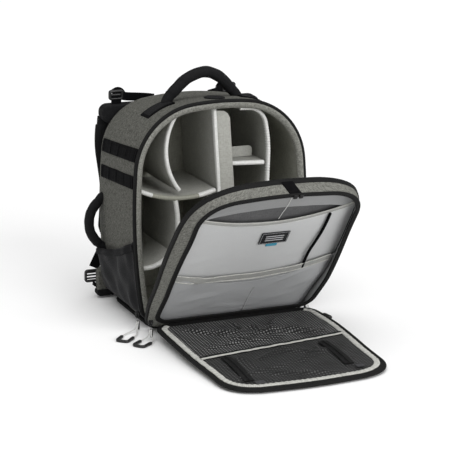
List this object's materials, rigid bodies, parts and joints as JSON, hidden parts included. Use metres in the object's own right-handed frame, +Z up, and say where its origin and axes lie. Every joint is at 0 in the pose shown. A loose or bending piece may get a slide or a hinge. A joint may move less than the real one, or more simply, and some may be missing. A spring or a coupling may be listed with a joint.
{
  "type": "camera backpack",
  "caption": "Opened camera backpack with a padded divided shell, a hinged lid whose front panel drops to the floor, carry handles and zipper pulls.",
  "frame": {"origin": "centre of the base panel's underside, which stands on the floor", "axes": "+Z up, -Y out of the shell's mouth towards the opened lid, +X to the right seen from the front"},
  "size_m": [0.4369, 0.6828, 0.4851],
  "materials": {
    "heather_fabric": "mottled grey woven polyester",
    "flap_fabric": "mottled grey woven polyester",
    "black_fabric": "black padded nylon",
    "zipper_tape": "black coil zipper and piping",
    "webbing": "black woven webbing",
    "stretch_fabric": "black stretch knit, slightly glossy",
    "binding": "light grey binding",
    "lining": "silver grey coated nylon",
    "mesh": "black open mesh",
    "divider_fabric": "light grey brushed lining",
    "label": "woven label with no lettering",
    "buckle_plastic": "moulded black plastic",
    "dark_metal": "black painted zinc",
    "white_cord": "white braided cord"
  },
  "bodies": {
    "shell": {"back_pads": "black_fabric", "back_panel": "heather_fabric", "base_panel": "black_fabric", "divider_centre": "divider_fabric", "divider_left": "divider_fabric", "divider_lower_left": "divider_fabric", "divider_right": "divider_fabric", "handle_strip": "webbing", "hinge_strip": "black_fabric", "load_lifters": "webbing", "main_zipper_tape": "zipper_tape", "mouth_binding": "binding", "port_patch": "black_fabric", "shelf_left": "divider_fabric", "shelf_lower_left": "divider_fabric", "shelf_right": "divider_fabric", "side_pocket_left": "stretch_fabric", "side_pocket_right": "stretch_fabric", "side_wall": "heather_fabric", "side_webbing": "webbing", "strap_tail_left": "webbing", "strap_tail_right": "webbing", "strap_yoke": "black_fabric"},
    "lid": {"lid_zipper_tape": "zipper_tape", "lid_panel": "lining", "lid_gusset": "heather_fabric", "pocket_zipper_tape": "zipper_tape", "pocket_rim_piping": "zipper_tape", "laptop_sleeve": "lining", "lower_pocket": "lining", "label_patch": "label", "lid_pull_tab": "webbing", "key_leash": "webbing"},
    "front_panel": {"flap_panel": "flap_fabric", "flap_piping": "zipper_tape", "flap_binding": "binding", "mesh_pockets": "mesh", "flap_strip": "binding", "mesh_zippers": "zipper_tape"},
    "top_handle": {"top_handle": "black_fabric"},
    "side_handle": {"side_handle": "black_fabric"},
    "shoulder_strap_left": {"shoulder_strap_left": "black_fabric", "ladder_lock_left": "buckle_plastic"},
    "shoulder_strap_right": {"shoulder_strap_right": "black_fabric", "ladder_lock_right": "buckle_plastic"},
    "main_left_slider": {"main_left_slider": "dark_metal"},
    "main_left_pull": {"main_left_tab": "dark_metal", "main_left_cord": "white_cord", "main_left_grip": "buckle_plastic"},
    "main_right_slider": {"main_right_slider": "dark_metal"},
    "main_right_pull": {"main_right_tab": "dark_metal", "main_right_cord": "white_cord", "main_right_grip": "buckle_plastic"},
    "pocket_left_slider": {"pocket_left_slider": "dark_metal"},
    "pocket_left_pull": {"pocket_left_tab": "dark_metal", "pocket_left_cord": "white_cord", "pocket_left_grip": "buckle_plastic"}
  },
  "joints": [
    {"name": "lid_hinge", "type": "hinge", "parent": "shell", "child": "lid", "pos_m": [0, -0.1075, 0.008], "axis": [1, 0, 0], "range_deg": [-39.5, 30]},
    {"name": "front_panel_hinge", "type": "hinge", "parent": "lid", "child": "front_panel", "pos_m": [0, -0.16905, 0.02465], "axis": [1, 0, 0], "range_deg": [-53.4, 40]},
    {"name": "top_handle_hinge", "type": "hinge", "parent": "shell", "child": "top_handle", "pos_m": [-0.009, -0.0275, 0.435], "axis": [1, 0, 0], "range_deg": [-40, 40]},
    {"name": "side_handle_hinge", "type": "hinge", "parent": "shell", "child": "side_handle", "pos_m": [-0.19, 0.0835, 0.172], "axis": [0, 0, 1], "range_deg": [-35, 35]},
    {"name": "shoulder_strap_left_hinge", "type": "hinge", "parent": "shell", "child": "shoulder_strap_left", "pos_m": [-0.134, 0.12477, 0.36152], "axis": [1, 0, 0], "range_deg": [-1, 25]},
    {"name": "shoulder_strap_right_hinge", "type": "hinge", "parent": "shell", "child": "shoulder_strap_right", "pos_m": [0.134, 0.12477, 0.36152], "axis": [1, 0, 0], "range_deg": [-1, 25]},
    {"name": "main_left_slide", "type": "slide", "parent": "shell", "child": "main_left_slider", "axis": [-0.0748, 0, 0.9972], "range_m": [0, 0.1]},
    {"name": "main_right_slide", "type": "slide", "parent": "shell", "child": "main_right_slider", "axis": [0.0748, 0, 0.9972], "range_m": [0, 0.1]},
    {"name": "pocket_left_slide", "type": "slide", "parent": "lid", "child": "pocket_left_slider", "axis": [-0.021, -0.6359, 0.7715], "range_m": [0, 0.1]},
    {"name": "main_left_pull_hinge", "type": "hinge", "parent": "main_left_slider", "child": "main_left_pull", "pos_m": [-0.176, -0.1145, 0.02], "axis": [-0.7314, 0.682, 0], "range_deg": [-15, 35]},
    {"name": "main_right_pull_hinge", "type": "hinge", "parent": "main_right_slider", "child": "main_right_pull", "pos_m": [0.176, -0.1145, 0.02], "axis": [-0.9863, -0.165, 0], "range_deg": [-15, 35]},
    {"name": "pocket_left_pull_hinge", "type": "hinge", "parent": "pocket_left_slider", "child": "pocket_left_pull", "pos_m": [-0.173, -0.1795, 0.0225], "axis": [-0.6225, 0.7826, 0], "range_deg": [-20, 60]}
  ]
}
